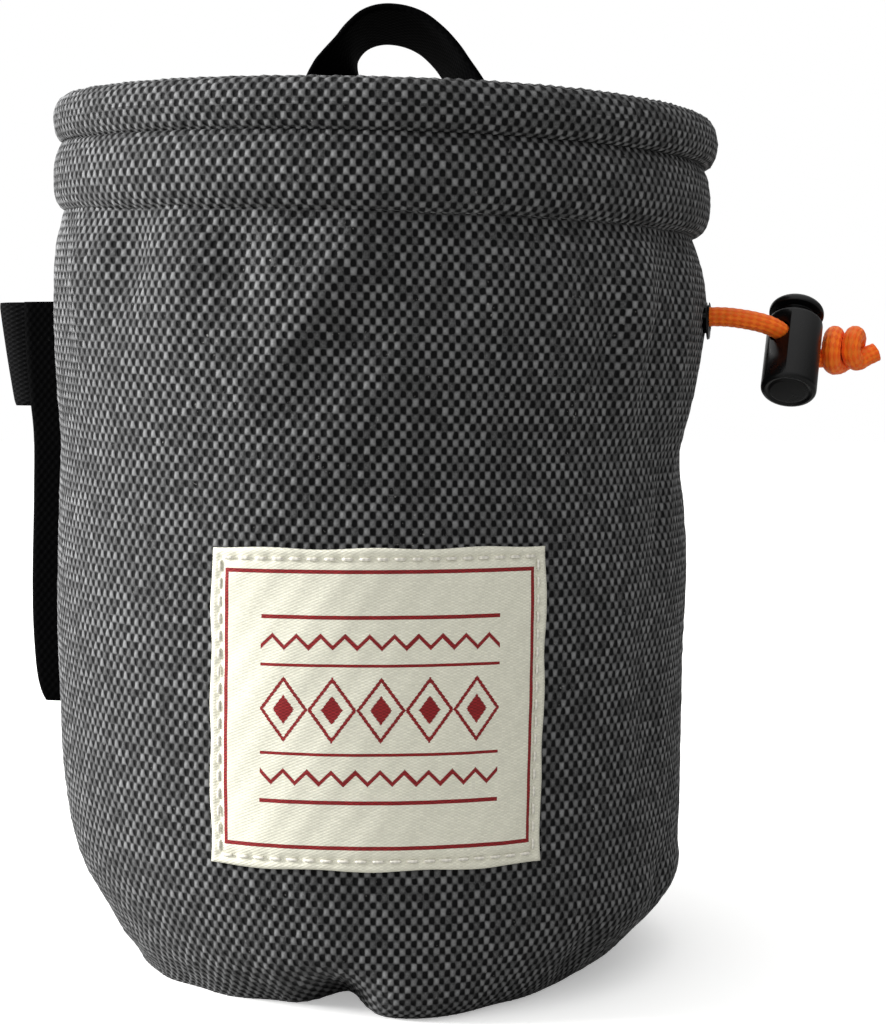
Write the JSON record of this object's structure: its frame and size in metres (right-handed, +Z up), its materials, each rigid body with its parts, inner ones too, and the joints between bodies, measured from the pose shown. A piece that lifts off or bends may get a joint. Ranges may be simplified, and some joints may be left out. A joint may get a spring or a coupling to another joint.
{
  "type": "climbing chalk bag",
  "caption": "Round cloth chalk bag with a rolled rim, a sewn label, a webbing carry loop, a brush loop and a draw cord with a sprung lock.",
  "frame": {"origin": "centre of the round base on the surface that the bag stands on", "axes": "+Z up through the mouth, the label faces -Y, the draw cord leaves towards +X"},
  "size_m": [0.1658, 0.1401, 0.1843],
  "materials": {
    "bag_cloth": "coarse plain weave, light grey on black",
    "label_cloth": "fine cream weave with a dark red woven ornament",
    "webbing": "black woven webbing",
    "elastic": "black ribbed elastic",
    "hard_plastic": "black moulded plastic, satin",
    "cord": "orange braided cord"
  },
  "bodies": {
    "root": {"rim_hem": "bag_cloth", "collar_band": "bag_cloth", "body_shell": "bag_cloth", "base_panel": "bag_cloth", "front_label": "label_cloth", "carry_loop": "webbing", "side_tape": "webbing", "brush_loop": "elastic", "cord_eyelet": "hard_plastic", "drawcord": "cord", "cord_lock_barrel": "hard_plastic", "cord_knot": "cord"},
    "plunger": {"cord_lock_plunger": "hard_plastic"}
  },
  "joints": [
    {"name": "plunger_press", "type": "slide", "parent": "root", "child": "plunger", "axis": [-0.1982, -0.5736, -0.7948], "range_m": [0, 0.0014], "stiffness_N_per_m": 300}
  ]
}
